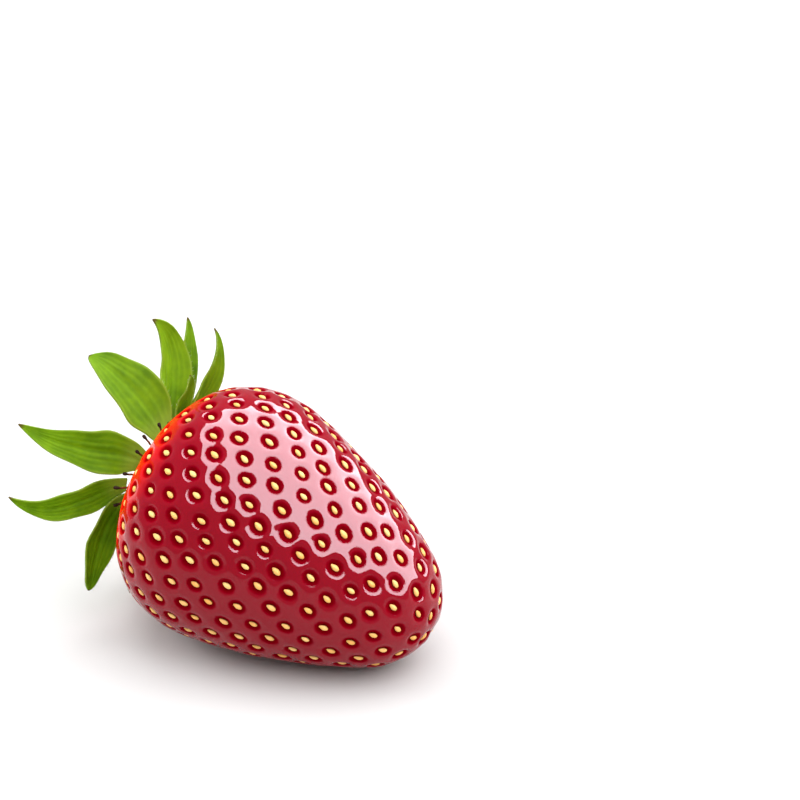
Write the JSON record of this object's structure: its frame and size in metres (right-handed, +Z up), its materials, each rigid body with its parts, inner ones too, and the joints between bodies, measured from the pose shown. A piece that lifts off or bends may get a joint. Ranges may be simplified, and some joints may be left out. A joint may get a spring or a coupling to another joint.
{
  "type": "strawberry",
  "caption": "Ripe strawberry, as picked, lying on its side: glossy conical berry with its green leafy calyx, short cut stalk and dried stamens.",
  "frame": {"origin": "bottom centre of the whole fruit's box, on the surface it lies on", "axes": "+X towards the berry's tip, +Z up, the calyx at -X"},
  "size_m": [0.062, 0.0384, 0.0426],
  "materials": {
    "flesh": "glossy ripe red skin with pitted yellow seeds",
    "cup": "pale green plant tissue",
    "stalk": "pale green hairy stalk",
    "leaf": "soft green leaf with fine hairs and veins",
    "stamen": "dried brown threads"
  },
  "bodies": {
    "root": {"berry_flesh": "flesh", "bract_1": "leaf", "bract_2": "leaf", "bract_3": "leaf", "bract_4": "leaf", "bract_5": "leaf", "floral_cup": "cup", "sepal_1": "leaf", "sepal_2": "leaf", "sepal_3": "leaf", "sepal_4": "leaf", "sepal_5": "leaf", "sepal_6": "leaf", "sepal_7": "leaf", "stalk": "stalk", "stamen_01": "stamen", "stamen_02": "stamen", "stamen_03": "stamen", "stamen_04": "stamen", "stamen_05": "stamen", "stamen_06": "stamen", "stamen_07": "stamen", "stamen_08": "stamen", "stamen_09": "stamen", "stamen_10": "stamen", "stamen_11": "stamen", "stamen_12": "stamen", "stamen_13": "stamen", "stamen_14": "stamen", "stamen_15": "stamen", "stamen_16": "stamen", "stamen_17": "stamen", "stamen_18": "stamen"}
  },
  "joints": []
}
